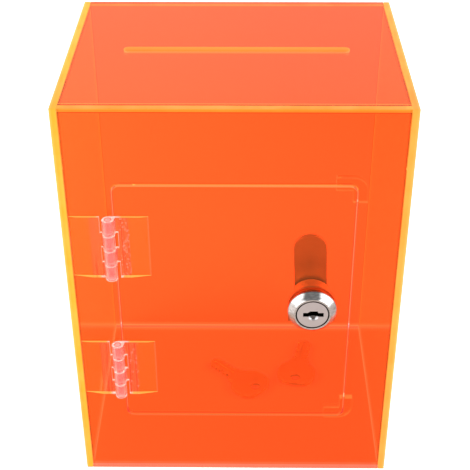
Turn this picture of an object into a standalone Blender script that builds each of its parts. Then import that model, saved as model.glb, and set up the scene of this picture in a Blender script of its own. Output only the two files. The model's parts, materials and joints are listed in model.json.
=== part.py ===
"""A money box made of clear orange acrylic sheet, with a hinged door in its front and a cam lock.

Metres, +Z up. The origin is the middle of the base, on the surface that the box stands on.
The front faces -Y. The door hinges at its left side and opens outwards.
"""

import math

import bmesh
import bpy
from mathutils import Vector

# The case
CASE_WIDTH = 0.155
CASE_DEPTH = 0.120
CASE_HEIGHT = 0.209
SHEET = 0.003              # all the sheet is one thickness
SEAM = 0.0001              # the glue line between two sheets, and under a glued leaf
ARRIS = 0.00015            # the sharp edges of cut sheet are just broken
FIT = 0.0003               # room round a piece that sits in or on another
OVERRUN = 0.001            # how far a cutter reaches past what it cuts

# The slot in the top
SLOT_LENGTH = 0.1046
SLOT_WIDTH = 0.005
SLOT_RIGHT = 0.0005        # the slot's middle lies this far right of the middle of the top
SLOT_BACK = 0.0009         # and this far behind it

# The door and the opening that it was cut from
FRAME_SIDE = 0.0232        # front panel left beside the opening
FRAME_BELOW = 0.0372
FRAME_ABOVE = 0.03705
KERF = 0.00065             # the width that the cutting took, all round the door
DOOR_CORNER = 0.0032

# The corner pieces behind the front panel that the door closes on
STOP_BAND = 0.0063         # width of each arm
STOP_ACROSS = 0.0140       # length of the level arm
STOP_UP = 0.0125           # length of the upright arm
STOP_OUT_SIDE = 0.0043     # how far it reaches past the side of the opening
STOP_OUT_END = 0.0026      # how far it reaches past the top or bottom of the opening
STOP_CORNER = 0.0068

# The moulded hinges, each with four knuckles on one pin
HINGE_HEIGHT = 0.032
HINGE_INSET = 0.0319       # from the end of the opening to the middle of a hinge
HINGE_BESIDE = 0.0017      # from the side of the opening to the hinge's axis
HINGE_OUT = 0.003          # from the front face to the hinge's axis
HINGE_KNUCKLES = 4
KNUCKLE_CLEAR = 0.0002     # from a knuckle to the sheet behind it
KNUCKLE_GAP = 0.0003       # from each knuckle to the next, along the pin
LEAF_REACH = 0.0178        # from the axis to the outer edge of a leaf
LEAF_THICKNESS = 0.0022
LEAF_TAPER = 0.0089        # the outer part of a leaf thins out over this length
LEAF_EDGE = 0.0004
LEAF_CLEAR = 0.0013        # from the other leaf's knuckles to the notch cut for them
PIN_RADIUS = 0.0015
PIN_CLEAR = 0.0002
PIN_CHAMFER = 0.0003
HINGE_ARRIS = 0.0002

# The lock: a barrel with two flats, through the door
LOCK_INSET = 0.01805       # from the side of the opening to the lock's axis
BARREL_RADIUS = 0.0095
BARREL_FLATS = 0.0158      # across the flats, which face left and right
BARREL_BEHIND = 0.0132     # from the door's front face to the barrel's inner end
BARREL_CHAMFER = 0.0005
BEZEL_RADIUS = 0.01155
BEZEL_OUT = 0.0044         # from the door's front face to the bezel's front
BEZEL_RIM = 0.0014         # the upright edge of the bezel, before the cone
BEZEL_ROUND = 0.0004
FACE_RING_RADIUS = 0.0090  # where the cone meets the flat ring round the plug

# The plug, which the key turns
PLUG_RADIUS = 0.0076
PLUG_FACE_THICKNESS = 0.0022
PLUG_RECESS = 0.0001       # its face lies this far behind the bezel's
PLUG_BODY_RADIUS = 0.0062
PLUG_GAP = 0.0003          # between the plug and the bore that it turns in
PLUG_CHAMFER = 0.0002
KEYWAY_LENGTH = 0.0096
KEYWAY_WIDTH = 0.0022
KEYWAY_DEPTH = 0.0095
KEYWAY_RIGHT = 0.0004      # its middle lies this far right of the lock's axis
KEYWAY_BUMP_LENGTH = 0.0049
KEYWAY_BUMP = 0.0009
KEYWAY_CORNER = 0.0002
DISH_RADIUS = 0.0026       # the half-round pocket under the keyway
DISH_DEPTH = 0.0010

# The spring clip that holds the barrel against the door
CLIP_THICKNESS = 0.0012
CLIP_INNER = 0.0150        # between its legs
CLIP_OUTER = 0.0224
CLIP_CROWN = 0.0113        # from the lock's axis to its top
CLIP_LEG = 0.0088          # from the lock's axis down to the ends of its legs

# The cam on the plug's square tail. At rest it points up, and the door is free.
TAIL_ACROSS = 0.0072
CAM_WIDTH = 0.0154
CAM_REACH = 0.0330         # from the lock's axis to the cam's tip
CAM_THICKNESS = 0.0020
CAM_LEAN = math.radians(2.5)
CAM_ARRIS = 0.0002
WASHER_RADIUS = 0.0055
WASHER_THICKNESS = 0.0010
SCREW_RADIUS = 0.0020
SCREW_LENGTH = 0.0075
SCREW_HEAD_RADIUS = 0.0040
SCREW_HEAD = 0.0026
SCREW_DRIVE_LENGTH = 0.0046
SCREW_DRIVE_WIDTH = 0.0010
SCREW_DRIVE_DEPTH = 0.0013

# The two keys, which lie on the floor of the box
KEY_THICKNESS = 0.0020
KEY_BOW_WIDTH = 0.0210
KEY_BOW_LENGTH = 0.0185
KEY_BOW_CORNER = 0.0075
KEY_HOLE_RADIUS = 0.0028
KEY_HOLE_FROM_END = 0.0052
KEY_SHOULDER = 0.0105
KEY_SHOULDER_LENGTH = 0.0030
KEY_BLADE_WIDTH = 0.0078
KEY_BLADE_LENGTH = 0.0205
KEY_TIP = 0.0030
KEY_CUTS = 5
KEY_CUT_DEPTH_SHARES = (0.16, 0.05, 0.20, 0.11, 0.17)    # of the blade's width
KEY_OTHER_EDGE_SHARES = (0.06, 0.18, 0.09, 0.20, 0.08)
KEY_CUT_FLAT_SHARE = 0.45  # of the pitch of the cuts
KEY_GROOVE_WIDTH = 0.0016
KEY_GROOVE_DEPTH = 0.0006
KEY_ARRIS = 0.00025
# Middle of the bow, as shares of half the floor's width and depth, and where the blade points.
KEY_1_SHARES = (0.104, 0.035)
KEY_1_HEADING = math.radians(137.8)
KEY_2_SHARES = (0.462, 0.198)
KEY_2_HEADING = math.radians(77.8)

ROUND_STEPS = 48
SMALL_STEPS = 24
CORNER_STEPS = 6
SMOOTH_ANGLE = math.radians(35)
WELD = 0.000001
UPRIGHT = (math.pi / 2, 0, 0)
SIDEWAYS = (math.pi / 2, 0, math.pi / 2)

# Worked out from the sizes above
FRONT_Y = -CASE_DEPTH / 2
INNER_WIDTH = CASE_WIDTH - 2 * SHEET
INNER_DEPTH = CASE_DEPTH - 2 * SHEET
OPENING_WIDTH = CASE_WIDTH - 2 * FRAME_SIDE
OPENING_HEIGHT = CASE_HEIGHT - FRAME_BELOW - FRAME_ABOVE
OPENING_Z = FRAME_BELOW + OPENING_HEIGHT / 2
OPENING_SIDE = OPENING_WIDTH / 2
HINGE_X = -OPENING_SIDE - HINGE_BESIDE
HINGE_Y = FRONT_Y - HINGE_OUT
KNUCKLE_RADIUS = HINGE_OUT - KNUCKLE_CLEAR
LOCK_X = OPENING_SIDE - LOCK_INSET
PLUG_BORE_RADIUS = PLUG_RADIUS + PLUG_GAP
BODY_BORE_RADIUS = PLUG_BODY_RADIUS + PLUG_GAP
CAM_FRONT = BARREL_BEHIND + FIT
CAM_BACK = CAM_FRONT + CAM_THICKNESS
TAIL_END = CAM_BACK - FIT
WASHER_FRONT = CAM_BACK + FIT
SCREW_HEAD_FRONT = WASHER_FRONT + WASHER_THICKNESS + FIT


def remove_everything():
    for old in list(bpy.data.objects):
        bpy.data.objects.remove(old, do_unlink=True)


def new_collection(name):
    collection = bpy.data.collections.new(name)
    bpy.context.scene.collection.children.link(collection)
    return collection


def new_material(name, colour, roughness, metallic=0, clearness=0):
    material = bpy.data.materials.new(name)
    material.use_nodes = True
    shader = material.node_tree.nodes["Principled BSDF"]
    shader.inputs["Base Color"].default_value = (*colour, 1)
    shader.inputs["Roughness"].default_value = roughness
    shader.inputs["Metallic"].default_value = metallic
    shader.inputs["Transmission Weight"].default_value = clearness
    material.diffuse_color = (*colour, 1)
    return material


remove_everything()
parts = new_collection("acrylic_money_box")
cutters = new_collection("cutters")
ACRYLIC = new_material("orange_acrylic", (1.0, 0.12, 0.02), 0.05, clearness=0.9)
CLEAR = new_material("clear_moulding", (0.95, 0.93, 0.90), 0.10, clearness=0.9)
CHROME = new_material("chrome", (0.80, 0.80, 0.80), 0.08, metallic=1)
SATIN = new_material("satin_plug", (0.52, 0.50, 0.49), 0.35, metallic=1)
STEEL = new_material("zinc_steel", (0.62, 0.60, 0.56), 0.30, metallic=1)
KEY_METAL = new_material("nickel_keys", (0.60, 0.58, 0.54), 0.30, metallic=1)


# Flat outlines, as points in order round a loop

def arc(centre, radius, start, end, steps):
    """Points on a circle from one angle to another, both ends with them."""
    turn = (end - start) / steps
    return [
        (centre[0] + radius * math.cos(start + turn * i), centre[1] + radius * math.sin(start + turn * i))
        for i in range(steps + 1)
    ]


def circle(radius, steps=ROUND_STEPS):
    return arc((0, 0), radius, 0, 2 * math.pi, steps)[:-1]


def rectangle(width, height):
    x, y = width / 2, height / 2
    return [(-x, -y), (x, -y), (x, y), (-x, y)]


def rounded(width, height, radius, steps=CORNER_STEPS):
    """A rectangle with round corners. A radius of half its height gives it round ends."""
    points = []
    corners = ((1, 1, 0), (-1, 1, 1), (-1, -1, 2), (1, -1, 3))
    for side_x, side_y, quarter in corners:
        centre = (side_x * (width / 2 - radius), side_y * (height / 2 - radius))
        start = quarter * math.pi / 2
        points += arc(centre, radius, start, start + math.pi / 2, steps)
    return points


def double_d(radius, across, steps=SMALL_STEPS):
    """A circle cut off by two upright flats, one at each side."""
    half = math.acos(across / 2 / radius)
    top = arc((0, 0), radius, half, math.pi - half, steps)
    bottom = arc((0, 0), radius, math.pi + half, 2 * math.pi - half, steps)
    return top + bottom


def mirrored(points):
    return [(-x, y) for x, y in reversed(points)]


# Building and placing pieces

def add_object(name, data, collection, material=None):
    piece = bpy.data.objects.new(name, data)
    collection.objects.link(piece)
    if material:
        data.materials.append(material)
    return piece


def add_axis(name, at, parent=None):
    """An empty on the axis that a moving piece turns about."""
    empty = add_object(name, None, parts)
    empty.empty_display_size = HINGE_HEIGHT
    place(empty, at, parent)
    return empty


def place(piece, at, parent=None, turn=(0, 0, 0)):
    """Puts a piece at a world point. Parents are empties that are moved and never turned."""
    piece.rotation_euler = turn
    piece.location = Vector(at)
    if parent:
        bpy.context.view_layer.update()
        piece.parent = parent
        piece.location = Vector(at) - parent.matrix_world.translation
    bpy.context.view_layer.update()


def mesh_of(source):
    """The mesh that an object's curve or modifiers make, with loose caps welded on."""
    bpy.context.view_layer.update()
    graph = bpy.context.evaluated_depsgraph_get()
    mesh = bpy.data.meshes.new_from_object(source.evaluated_get(graph))
    shape = bmesh.new()
    shape.from_mesh(mesh)
    bmesh.ops.remove_doubles(shape, verts=shape.verts, dist=WELD)
    bmesh.ops.recalc_face_normals(shape, faces=shape.faces)
    shape.to_mesh(mesh)
    shape.free()
    return mesh


def plate(name, loops, thickness, material=None, collection=parts, back=0):
    """A flat piece cut to an outline, with any further loops as holes. Its back is at local z = back."""
    curve = bpy.data.curves.new(name + "_outline", "CURVE")
    curve.dimensions = "2D"
    curve.fill_mode = "BOTH"
    curve.extrude = thickness / 2
    for loop in loops:
        spline = curve.splines.new("POLY")
        spline.points.add(len(loop) - 1)
        for point, (x, y) in zip(spline.points, loop):
            point.co = (x, y, 0, 1)
        spline.use_cyclic_u = True
    outline = bpy.data.objects.new(name + "_outline", curve)
    parts.objects.link(outline)
    mesh = mesh_of(outline)
    bpy.data.objects.remove(outline)
    for vertex in mesh.vertices:
        vertex.co.z += back + thickness / 2
    mesh.name = name
    return add_object(name, mesh, collection, material)


def turned(name, profile, material=None, collection=parts, steps=ROUND_STEPS):
    """A turned piece: its profile runs down the outer side, top to bottom, as radius and height."""
    mesh = bpy.data.meshes.new(name)
    shape = bmesh.new()
    points = [shape.verts.new((radius, 0, height)) for radius, height in profile]
    for first, second in zip(points, points[1:]):
        shape.edges.new((first, second))
    if profile[0][0] > 0:
        shape.edges.new((points[-1], points[0]))
    shape.to_mesh(mesh)
    shape.free()
    piece = add_object(name, mesh, collection, material)
    screw = piece.modifiers.new("turn", "SCREW")
    screw.axis = "Z"
    screw.steps = screw.render_steps = steps
    screw.use_merge_vertices = True
    screw.merge_threshold = WELD
    piece.data = mesh_of(piece)
    piece.modifiers.clear()
    bpy.data.meshes.remove(mesh)
    return piece


def as_cutter(piece):
    piece.hide_render = True
    piece.display_type = "WIRE"
    return piece


def cut(piece, cutter, operation="DIFFERENCE"):
    change = piece.modifiers.new(cutter.name, "BOOLEAN")
    change.operation = operation
    change.solver = "EXACT"
    change.object = as_cutter(cutter)


def break_edges(piece, width, angle=math.radians(30)):
    change = piece.modifiers.new("broken_edges", "BEVEL")
    change.width = width
    change.segments = 1
    change.limit_method = "ANGLE"
    change.angle_limit = angle


def smooth(piece):
    """Settles a round piece's cuts into its mesh, shades its curved sides smooth and keeps its edges."""
    rough = piece.data
    piece.data = mesh_of(piece)
    piece.modifiers.clear()
    bpy.data.meshes.remove(rough)
    piece.data.shade_smooth()
    piece.data.set_sharp_from_angle(angle=SMOOTH_ANGLE)


# The case

def build_side_panel(name, side):
    """Left or right: full depth and height, outside the others."""
    panel = plate(name, [rectangle(CASE_DEPTH, CASE_HEIGHT)], SHEET, ACRYLIC, back=-SHEET / 2)
    break_edges(panel, ARRIS)
    place(panel, (side * (CASE_WIDTH - SHEET) / 2, 0, CASE_HEIGHT / 2), turn=SIDEWAYS)


def build_back_panel():
    outline = rectangle(INNER_WIDTH - 2 * SEAM, CASE_HEIGHT)
    panel = plate("back_panel", [outline], SHEET, ACRYLIC, back=-SHEET / 2)
    break_edges(panel, ARRIS)
    place(panel, (0, (CASE_DEPTH - SHEET) / 2, CASE_HEIGHT / 2), turn=UPRIGHT)


def build_front_panel():
    """The sheet with the opening that the door was cut from."""
    outline = rectangle(INNER_WIDTH - 2 * SEAM, CASE_HEIGHT)
    opening = rounded(OPENING_WIDTH, OPENING_HEIGHT, DOOR_CORNER + KERF)
    shift = OPENING_Z - CASE_HEIGHT / 2
    opening = [(x, y + shift) for x, y in opening]
    panel = plate("front_panel", [outline, opening], SHEET, ACRYLIC, back=-SHEET / 2)
    break_edges(panel, ARRIS)
    place(panel, (0, -(CASE_DEPTH - SHEET) / 2, CASE_HEIGHT / 2), turn=UPRIGHT)


def build_level_panels():
    """The top, with its slot, and the bottom: both fit inside the four walls."""
    outline = rectangle(INNER_WIDTH - 2 * SEAM, INNER_DEPTH - 2 * SEAM)
    slot = [(x + SLOT_RIGHT, y + SLOT_BACK) for x, y in rounded(SLOT_LENGTH, SLOT_WIDTH, SLOT_WIDTH / 2)]
    top = plate("top_panel", [outline, slot], SHEET, ACRYLIC)
    break_edges(top, ARRIS)
    place(top, (0, 0, CASE_HEIGHT - SHEET))
    bottom = plate("bottom_panel", [outline], SHEET, ACRYLIC)
    break_edges(bottom, ARRIS)
    place(bottom, (0, 0, 0))


def build_stop(name, end):
    """A rounded L glued behind a right-hand corner of the opening, half of it behind the door."""
    radius = STOP_CORNER
    inner = STOP_CORNER - STOP_BAND
    loop = arc((-radius, -radius), radius, 0, math.pi / 2, CORNER_STEPS)
    loop += [(-STOP_ACROSS, 0), (-STOP_ACROSS, -STOP_BAND)]
    loop += reversed(arc((-radius, -radius), inner, 0, math.pi / 2, CORNER_STEPS))
    loop += [(-STOP_BAND, -STOP_UP), (0, -STOP_UP)]
    if end < 0:
        loop = [(x, -y) for x, y in reversed(loop)]
    stop = plate(name, [loop], SHEET, ACRYLIC, back=-SHEET)
    corner_x = OPENING_SIDE + STOP_OUT_SIDE
    corner_z = OPENING_Z + end * (OPENING_HEIGHT / 2 + STOP_OUT_END)
    place(stop, (corner_x, FRONT_Y + SHEET + SEAM, corner_z), turn=UPRIGHT)


# The hinges

def leaf_section():
    """A leaf with its knuckle, seen along the pin, for a leaf that reaches towards +x."""
    back = HINGE_OUT - SEAM
    front = back - LEAF_THICKNESS
    shoulder = LEAF_REACH - LEAF_TAPER
    meets = math.asin(front / KNUCKLE_RADIUS)
    leaves = math.radians(80)
    section = [(LEAF_THICKNESS / 2, back)]
    section += arc((0, 0), KNUCKLE_RADIUS, leaves, 2 * math.pi + meets, SMALL_STEPS)
    section += [(shoulder, front), (LEAF_REACH, back - LEAF_EDGE), (LEAF_REACH, back)]
    return section


def knuckle_notch(name, height, side, low, high):
    """Cuts away a whole knuckle and a square notch in the leaf, where the other leaf's knuckle goes."""
    past = KNUCKLE_RADIUS + OVERRUN
    notch = KNUCKLE_RADIUS + LEAF_CLEAR
    loop = [(-past, -past), (notch, -past), (notch, past), (-past, past)]
    if side < 0:
        loop = mirrored(loop)
    cutter = plate(name, [loop], high - low, collection=cutters, back=low)
    place(cutter, (HINGE_X, HINGE_Y, height))
    return cutter


def build_leaf(name, height, side, first, parent=None):
    """One leaf. Its knuckles are every other one, and `first` is 0 for the one that has the lowest."""
    section = leaf_section()
    if side < 0:
        section = mirrored(section)
    bore = circle(PIN_RADIUS + PIN_CLEAR, SMALL_STEPS)
    leaf = plate(name, [section, bore], HINGE_HEIGHT, CLEAR)
    break_edges(leaf, HINGE_ARRIS, angle=math.radians(50))
    pitch = HINGE_HEIGHT / HINGE_KNUCKLES
    for knuckle in range(1 - first, HINGE_KNUCKLES, 2):
        low = knuckle * pitch - KNUCKLE_GAP / 2
        high = (knuckle + 1) * pitch + KNUCKLE_GAP / 2
        if knuckle == 0:
            low = -OVERRUN
        if knuckle == HINGE_KNUCKLES - 1:
            high = HINGE_HEIGHT + OVERRUN
        cut(leaf, knuckle_notch(name + "_notch_" + str(knuckle), height, side, low, high))
    place(leaf, (HINGE_X, HINGE_Y, height), parent)
    smooth(leaf)


def build_hinge(name, middle, door):
    """A frame leaf with the lowest knuckle, a door leaf with the topmost, and the pin."""
    height = middle - HINGE_HEIGHT / 2
    build_leaf(name + "_frame_leaf", height, -1, 0)
    build_leaf(name + "_door_leaf", height, 1, 1, door)
    narrow = PIN_RADIUS - PIN_CHAMFER
    profile = [
        (0, HINGE_HEIGHT),
        (narrow, HINGE_HEIGHT),
        (PIN_RADIUS, HINGE_HEIGHT - PIN_CHAMFER),
        (PIN_RADIUS, PIN_CHAMFER),
        (narrow, 0),
        (0, 0),
    ]
    pin = turned(name + "_pin", profile, CLEAR, steps=SMALL_STEPS)
    place(pin, (HINGE_X, HINGE_Y, height))
    smooth(pin)


# The door

def build_door_panel(door):
    outline = rounded(OPENING_WIDTH - 2 * KERF, OPENING_HEIGHT - 2 * KERF, DOOR_CORNER)
    hole = [(x + LOCK_X, y) for x, y in double_d(BARREL_RADIUS + FIT, BARREL_FLATS + 2 * FIT)]
    panel = plate("door_panel", [outline, hole], SHEET, ACRYLIC, back=-SHEET)
    break_edges(panel, ARRIS)
    place(panel, (0, FRONT_Y, OPENING_Z), door, UPRIGHT)


# The lock. Its pieces are drawn facing +z, and heights are distances out from the door's front face.

def clip_outline(room=0):
    """A horseshoe that slides down over the barrel, or with room the groove for it."""
    inner = CLIP_INNER / 2 - room
    outer = CLIP_OUTER / 2
    crown = BARREL_RADIUS + FIT - room
    legs = -CLIP_LEG
    shoulder = CLIP_CROWN - outer
    outline = [(outer, legs)] + arc((0, shoulder), outer, 0, math.pi, SMALL_STEPS) + [(-outer, legs)]
    inside = arc((0, crown - inner), inner, math.pi, 0, SMALL_STEPS)
    return outline + [(-inner, legs)] + inside + [(inner, legs)]


def build_housing(lock, at):
    """The bezel and the barrel in one, turned, with its two flats and the groove for the clip."""
    face_floor = BEZEL_OUT - PLUG_RECESS - PLUG_FACE_THICKNESS - FIT
    profile = [
        (PLUG_BORE_RADIUS, BEZEL_OUT),
        (FACE_RING_RADIUS - BEZEL_ROUND, BEZEL_OUT),
        (FACE_RING_RADIUS, BEZEL_OUT - BEZEL_ROUND),
        (BEZEL_RADIUS - BEZEL_ROUND, BEZEL_RIM + BEZEL_ROUND),
        (BEZEL_RADIUS, BEZEL_RIM),
        (BEZEL_RADIUS, FIT),
        (BARREL_RADIUS, FIT),
        (BARREL_RADIUS, BARREL_CHAMFER - BARREL_BEHIND),
        (BARREL_RADIUS - BARREL_CHAMFER, -BARREL_BEHIND),
        (BODY_BORE_RADIUS, -BARREL_BEHIND),
        (BODY_BORE_RADIUS, face_floor),
        (PLUG_BORE_RADIUS, face_floor),
    ]
    housing = turned("lock_housing", profile, CHROME)
    slab = BARREL_RADIUS
    length = BARREL_BEHIND + FIT + OVERRUN
    for name, side in (("left_flat", -1), ("right_flat", 1)):
        flat = plate(name, [rectangle(slab, 2 * BEZEL_RADIUS)], length, collection=cutters, back=FIT - length)
        place(flat, at + Vector((side * (BARREL_FLATS + slab) / 2, 0, 0)), lock, UPRIGHT)
        cut(housing, flat)
    wide = CLIP_THICKNESS + 2 * FIT
    groove = plate("clip_groove", [clip_outline(FIT)], wide, collection=cutters, back=-SHEET - wide)
    for vertex in groove.data.vertices:
        if vertex.co.y <= WELD - CLIP_LEG:
            vertex.co.y -= OVERRUN
    place(groove, at, lock, UPRIGHT)
    cut(housing, groove)
    place(housing, at, lock, UPRIGHT)
    smooth(housing)


def build_clip(lock, at):
    clip = plate("lock_clip", [clip_outline()], CLIP_THICKNESS, STEEL, back=-SHEET - FIT - CLIP_THICKNESS)
    place(clip, at, lock, UPRIGHT)
    smooth(clip)


def build_plug(turn, at):
    """The round face, the body inside the barrel and the square tail that carries the cam."""
    face = BEZEL_OUT - PLUG_RECESS
    profile = [
        (0, face),
        (PLUG_RADIUS - PLUG_CHAMFER, face),
        (PLUG_RADIUS, face - PLUG_CHAMFER),
        (PLUG_RADIUS, face - PLUG_FACE_THICKNESS),
        (PLUG_BODY_RADIUS, face - PLUG_FACE_THICKNESS),
        (PLUG_BODY_RADIUS, -BARREL_BEHIND),
        (0, -BARREL_BEHIND),
    ]
    plug = turned("lock_plug", profile, SATIN)

    tail_length = TAIL_END - BARREL_BEHIND + OVERRUN
    square = rectangle(TAIL_ACROSS, TAIL_ACROSS)
    tail = plate("plug_tail", [square], tail_length, collection=cutters, back=-TAIL_END)
    place(tail, at, turn, (math.pi / 2, -CAM_LEAN, 0))
    cut(plug, tail, "UNION")

    keyway_at = at + Vector((KEYWAY_RIGHT, 0, 0))
    deep = KEYWAY_DEPTH + OVERRUN
    slot = rounded(KEYWAY_LENGTH, KEYWAY_WIDTH, KEYWAY_CORNER, 2)
    keyway = plate("keyway", [slot], deep, collection=cutters, back=face - KEYWAY_DEPTH)
    place(keyway, keyway_at, turn, UPRIGHT)
    cut(plug, keyway)

    bump_shape = rounded(KEYWAY_BUMP_LENGTH, KEYWAY_WIDTH, KEYWAY_BUMP, 4)
    bump = plate("keyway_bump", [bump_shape], deep, collection=cutters, back=face - KEYWAY_DEPTH)
    place(bump, keyway_at + Vector((0, 0, KEYWAY_BUMP)), turn, UPRIGHT)
    cut(plug, bump)

    half_round = arc((0, 0), DISH_RADIUS, math.pi, 2 * math.pi, SMALL_STEPS)
    shallow = DISH_DEPTH + OVERRUN
    dish = plate("keyway_dish", [half_round], shallow, collection=cutters, back=face - DISH_DEPTH)
    place(dish, keyway_at + Vector((0, 0, FIT - KEYWAY_WIDTH / 2)), turn, UPRIGHT)
    cut(plug, dish)

    bore_low = FIT + SCREW_LENGTH
    bore = [(0, OVERRUN), (SCREW_RADIUS + FIT, OVERRUN), (SCREW_RADIUS + FIT, -bore_low), (0, -bore_low)]
    hole = turned("screw_bore", bore, collection=cutters, steps=SMALL_STEPS)
    place(hole, at + Vector((0, TAIL_END, 0)), turn, (-math.pi / 2, 0, 0))
    cut(plug, hole)
    place(plug, at, turn, UPRIGHT)
    smooth(plug)


def build_cam(turn, at):
    """A flat finger with round ends and a square hole, turned with the plug."""
    half = CAM_WIDTH / 2
    finger = rounded(CAM_WIDTH, CAM_REACH + half, half, SMALL_STEPS)
    finger = [(x, y + (CAM_REACH - half) / 2) for x, y in finger]
    hole = rectangle(TAIL_ACROSS + 2 * FIT, TAIL_ACROSS + 2 * FIT)
    cam = plate("lock_cam", [finger, hole], CAM_THICKNESS, STEEL, back=-CAM_BACK)
    break_edges(cam, CAM_ARRIS)
    place(cam, at, turn, (math.pi / 2, -CAM_LEAN, 0))
    smooth(cam)


def build_cam_fixings(turn, at):
    """A washer and a cross-head screw hold the cam on the tail."""
    ring = [circle(WASHER_RADIUS, SMALL_STEPS), circle(SCREW_RADIUS + FIT, SMALL_STEPS)]
    washer = plate("cam_washer", ring, WASHER_THICKNESS, STEEL, back=-WASHER_FRONT - WASHER_THICKNESS)
    place(washer, at, turn, UPRIGHT)
    smooth(washer)

    dome = SCREW_HEAD / 2
    shank = SCREW_LENGTH + SCREW_HEAD_FRONT - TAIL_END - FIT
    profile = [(0, SCREW_HEAD)]
    profile += [
        (SCREW_HEAD_RADIUS * math.sin(angle), dome + dome * math.cos(angle))
        for angle in (math.radians(30), math.radians(50), math.radians(70), math.radians(90))
    ]
    profile += [(SCREW_HEAD_RADIUS, 0), (SCREW_RADIUS, 0), (SCREW_RADIUS, -shank), (0, -shank)]
    screw = turned("cam_screw", profile, STEEL, steps=SMALL_STEPS)
    back_at = at + Vector((0, SCREW_HEAD_FRONT, 0))
    for name, size in (
        ("drive_across", (SCREW_DRIVE_LENGTH, SCREW_DRIVE_WIDTH)),
        ("drive_down", (SCREW_DRIVE_WIDTH, SCREW_DRIVE_LENGTH)),
    ):
        deep = SCREW_DRIVE_DEPTH + OVERRUN
        drive = plate(name, [rectangle(*size)], deep, collection=cutters, back=SCREW_HEAD - SCREW_DRIVE_DEPTH)
        place(drive, back_at, turn, (-math.pi / 2, 0, 0))
        cut(screw, drive)
    place(screw, back_at, turn, (-math.pi / 2, 0, 0))
    smooth(screw)


# The keys

def blade_edge(shares, side):
    """The notches along one edge of the blade, from the tip to the shoulder, on the +y or -y side."""
    half = KEY_BLADE_WIDTH / 2
    pitch = (KEY_BLADE_LENGTH - KEY_TIP - KEY_SHOULDER_LENGTH) / KEY_CUTS
    points = []
    for number, share in enumerate(reversed(shares)):
        middle = KEY_BLADE_LENGTH - KEY_TIP - pitch * (number + 1 / 2)
        flat = pitch * KEY_CUT_FLAT_SHARE / 2
        level = half - KEY_BLADE_WIDTH * share
        points += [(middle + pitch / 2, half), (middle + flat, level), (middle - flat, level)]
    points.append((KEY_SHOULDER_LENGTH, half))
    return [(x, side * y) for x, y in points]


def key_outline():
    """A key lying flat: the bow behind x = 0, the blade ahead of it."""
    half_bow = KEY_BOW_WIDTH / 2
    corner = KEY_BOW_CORNER
    end = -KEY_BOW_LENGTH
    shoulder = KEY_SHOULDER / 2
    tip = KEY_TIP / 3
    upper = blade_edge(KEY_CUT_DEPTH_SHARES, 1)
    lower = blade_edge(KEY_OTHER_EDGE_SHARES, -1)
    outline = [(KEY_BLADE_LENGTH, tip)] + upper + [(KEY_SHOULDER_LENGTH, shoulder), (0, shoulder)]
    outline += arc((-corner, half_bow - corner), corner, math.pi / 3, math.pi / 2, 3)
    outline += arc((end + corner, half_bow - corner), corner, math.pi / 2, math.pi, CORNER_STEPS)
    outline += arc((end + corner, corner - half_bow), corner, math.pi, 3 * math.pi / 2, CORNER_STEPS)
    outline += arc((-corner, corner - half_bow), corner, 3 * math.pi / 2, 5 * math.pi / 3, 3)
    outline += [(0, -shoulder), (KEY_SHOULDER_LENGTH, -shoulder)] + lower[::-1] + [(KEY_BLADE_LENGTH, -tip)]
    return outline


def build_key(name, shares, heading):
    hole_at = KEY_HOLE_FROM_END - KEY_BOW_LENGTH
    hole = [(x + hole_at, y) for x, y in circle(KEY_HOLE_RADIUS, SMALL_STEPS)]
    key = plate(name, [key_outline(), hole], KEY_THICKNESS, KEY_METAL)
    break_edges(key, KEY_ARRIS, angle=math.radians(50))
    bow = Vector((shares[0] * INNER_WIDTH / 2, shares[1] * INNER_DEPTH / 2, SHEET + FIT))
    along = Vector((math.cos(heading), math.sin(heading), 0))
    at = bow + along * (KEY_BOW_LENGTH / 2)
    length = KEY_BLADE_LENGTH - KEY_SHOULDER_LENGTH + OVERRUN
    groove_loop = [(x + KEY_SHOULDER_LENGTH + length / 2, y) for x, y in rectangle(length, KEY_GROOVE_WIDTH)]
    groove = plate(
        name + "_groove",
        [groove_loop],
        KEY_GROOVE_DEPTH + OVERRUN,
        collection=cutters,
        back=KEY_THICKNESS - KEY_GROOVE_DEPTH,
    )
    place(groove, at, turn=(0, 0, heading))
    cut(key, groove)
    place(key, at, turn=(0, 0, heading))
    smooth(key)


def build_box():
    build_side_panel("left_panel", -1)
    build_side_panel("right_panel", 1)
    build_level_panels()
    build_front_panel()
    build_back_panel()
    build_stop("upper_door_stop", 1)
    build_stop("lower_door_stop", -1)

    door = add_axis("door_axis", (HINGE_X, HINGE_Y, OPENING_Z))
    build_door_panel(door)
    reach = OPENING_HEIGHT / 2 - HINGE_INSET
    build_hinge("upper_hinge", OPENING_Z + reach, door)
    build_hinge("lower_hinge", OPENING_Z - reach, door)

    lock_at = Vector((LOCK_X, FRONT_Y, OPENING_Z))
    turn = add_axis("lock_axis", lock_at, door)
    build_housing(door, lock_at)
    build_clip(door, lock_at)
    build_plug(turn, lock_at)
    build_cam(turn, lock_at)
    build_cam_fixings(turn, lock_at)

    build_key("key_1", KEY_1_SHARES, KEY_1_HEADING)
    build_key("key_2", KEY_2_SHARES, KEY_2_HEADING)


build_box()
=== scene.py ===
# %% [markdown]
# A money box of clear orange acrylic
#
# The box is a small case of fluorescent sheet with a slot in its top, a hinged front door and a
# cam lock. Its construction is already settled: the frame below holds every sheet, hinge leaf and
# lock piece at its real place. This lesson dresses that frame. The sheets, the keys, the cam, its
# washer and the lock's clip keep their frame meshes and get new finishes. The other turned and
# moulded pieces, which catch the light, are modelled again with smooth curves, each exactly where
# the frame has it.

# %% Load the frame
import json
import math

import bmesh
import bpy
from mathutils import Matrix, Vector


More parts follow.
